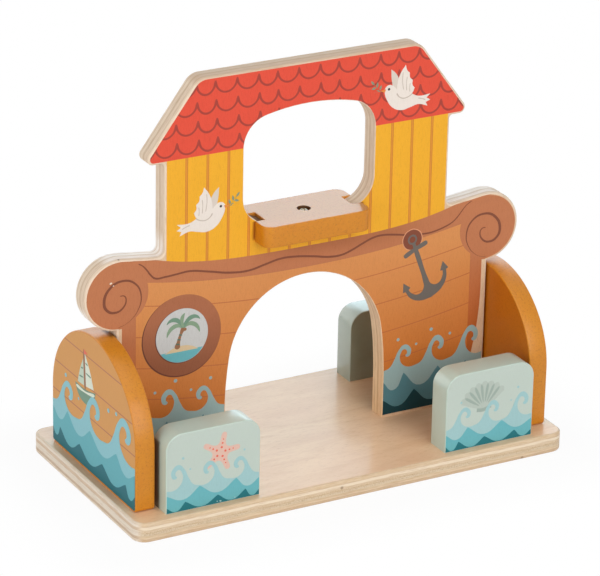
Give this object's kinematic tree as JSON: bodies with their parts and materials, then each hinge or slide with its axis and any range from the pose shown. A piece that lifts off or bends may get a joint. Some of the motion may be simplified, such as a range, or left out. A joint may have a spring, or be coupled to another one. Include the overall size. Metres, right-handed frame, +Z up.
{
  "type": "toy ark",
  "caption": "Wooden toy ark standing on a base plate: an upright plywood ark panel with archway and window shelf, round-topped end panels and wave blocks.",
  "frame": {"origin": "middle of the base plate's underside, which is also the bottom centre of the whole object", "axes": "+X along the base to the right as seen from the printed front, +Y from the front to the back, +Z up"},
  "size_m": [0.283, 0.141, 0.243],
  "materials": {
    "birch_plywood": "clear satin varnish, layered edges",
    "printed_plywood": "printed front face, bare layered edges, satin varnish",
    "mustard_paint": "satin paint on board",
    "sage_paint": "satin paint on board",
    "zinc_screw": "zinc plated",
    "beech_dowel": "bare wood"
  },
  "bodies": {
    "root": {"base_plate": "birch_plywood", "ark_panel": "printed_plywood", "left_end_panel": "mustard_paint", "right_end_panel": "mustard_paint", "window_shelf": "mustard_paint", "front_left_wave_block": "sage_paint", "front_right_wave_block": "sage_paint", "rear_left_wave_block": "sage_paint", "rear_right_wave_block": "sage_paint", "shelf_screw": "zinc_screw", "leg_screws": "zinc_screw", "end_panel_screws": "zinc_screw", "wave_block_screws": "zinc_screw", "leg_dowels": "beech_dowel"}
  },
  "joints": []
}
